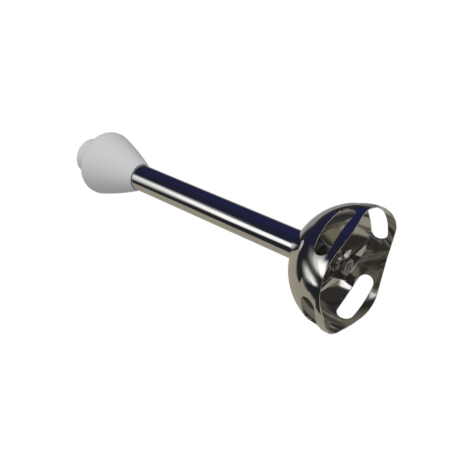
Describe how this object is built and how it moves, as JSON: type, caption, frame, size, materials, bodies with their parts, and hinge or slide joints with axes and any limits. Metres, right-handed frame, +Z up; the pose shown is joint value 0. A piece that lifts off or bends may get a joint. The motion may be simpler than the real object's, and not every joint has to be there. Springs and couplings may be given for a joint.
{
  "type": "immersion blender shaft",
  "caption": "Stainless blending foot: a windowed bell with a folded winged blade turning inside it, on a slim tube with a white conical collar and a locking spigot.",
  "frame": {"origin": "centre of the bell's mouth, at the height of the rim's four lobes", "axes": "+Z up the shaft to the coupling; +X and +Y through two of the rim's lobes and windows"},
  "size_m": [0.0676, 0.0676, 0.2091],
  "materials": {
    "bright_steel": "mirror-polished stainless steel",
    "blade_steel": "stamped stainless steel, satin",
    "plain_steel": "turned stainless steel",
    "bronze": "sintered bronze",
    "white_plastic": "fine matt moulded plastic",
    "grey_plastic": "glass-filled moulded plastic",
    "dark_plastic": "glass-filled moulded plastic, near black",
    "black_rubber": "moulded rubber"
  },
  "bodies": {
    "guard": {"bell_guard": "bright_steel", "shaft_tube": "bright_steel", "collar_shell": "white_plastic", "coupling_spigot": "white_plastic", "tube_socket": "grey_plastic", "collar_seal": "black_rubber", "upper_bearing": "bronze", "bearing_retainer": "plain_steel", "dust_seal": "black_rubber", "upper_thrust_washer": "plain_steel", "middle_bearing": "grey_plastic", "lower_bearing_housing": "dark_plastic", "lower_bearing": "bronze", "housing_o_ring": "black_rubber", "lip_seal": "black_rubber", "seal_retainer": "bright_steel", "lower_thrust_washer": "plain_steel"},
    "rotor": {"drive_shaft": "plain_steel", "blade": "blade_steel", "blade_hub": "plain_steel", "blade_cap": "plain_steel", "upper_circlip": "plain_steel", "lower_circlip": "plain_steel", "drive_coupling": "grey_plastic", "coupling_pin": "plain_steel"}
  },
  "joints": [
    {"name": "blade_spin", "type": "hinge", "parent": "guard", "child": "rotor", "pos_m": [0, 0, 0.009], "axis": [0, 0, 1], "continuous": true}
  ]
}
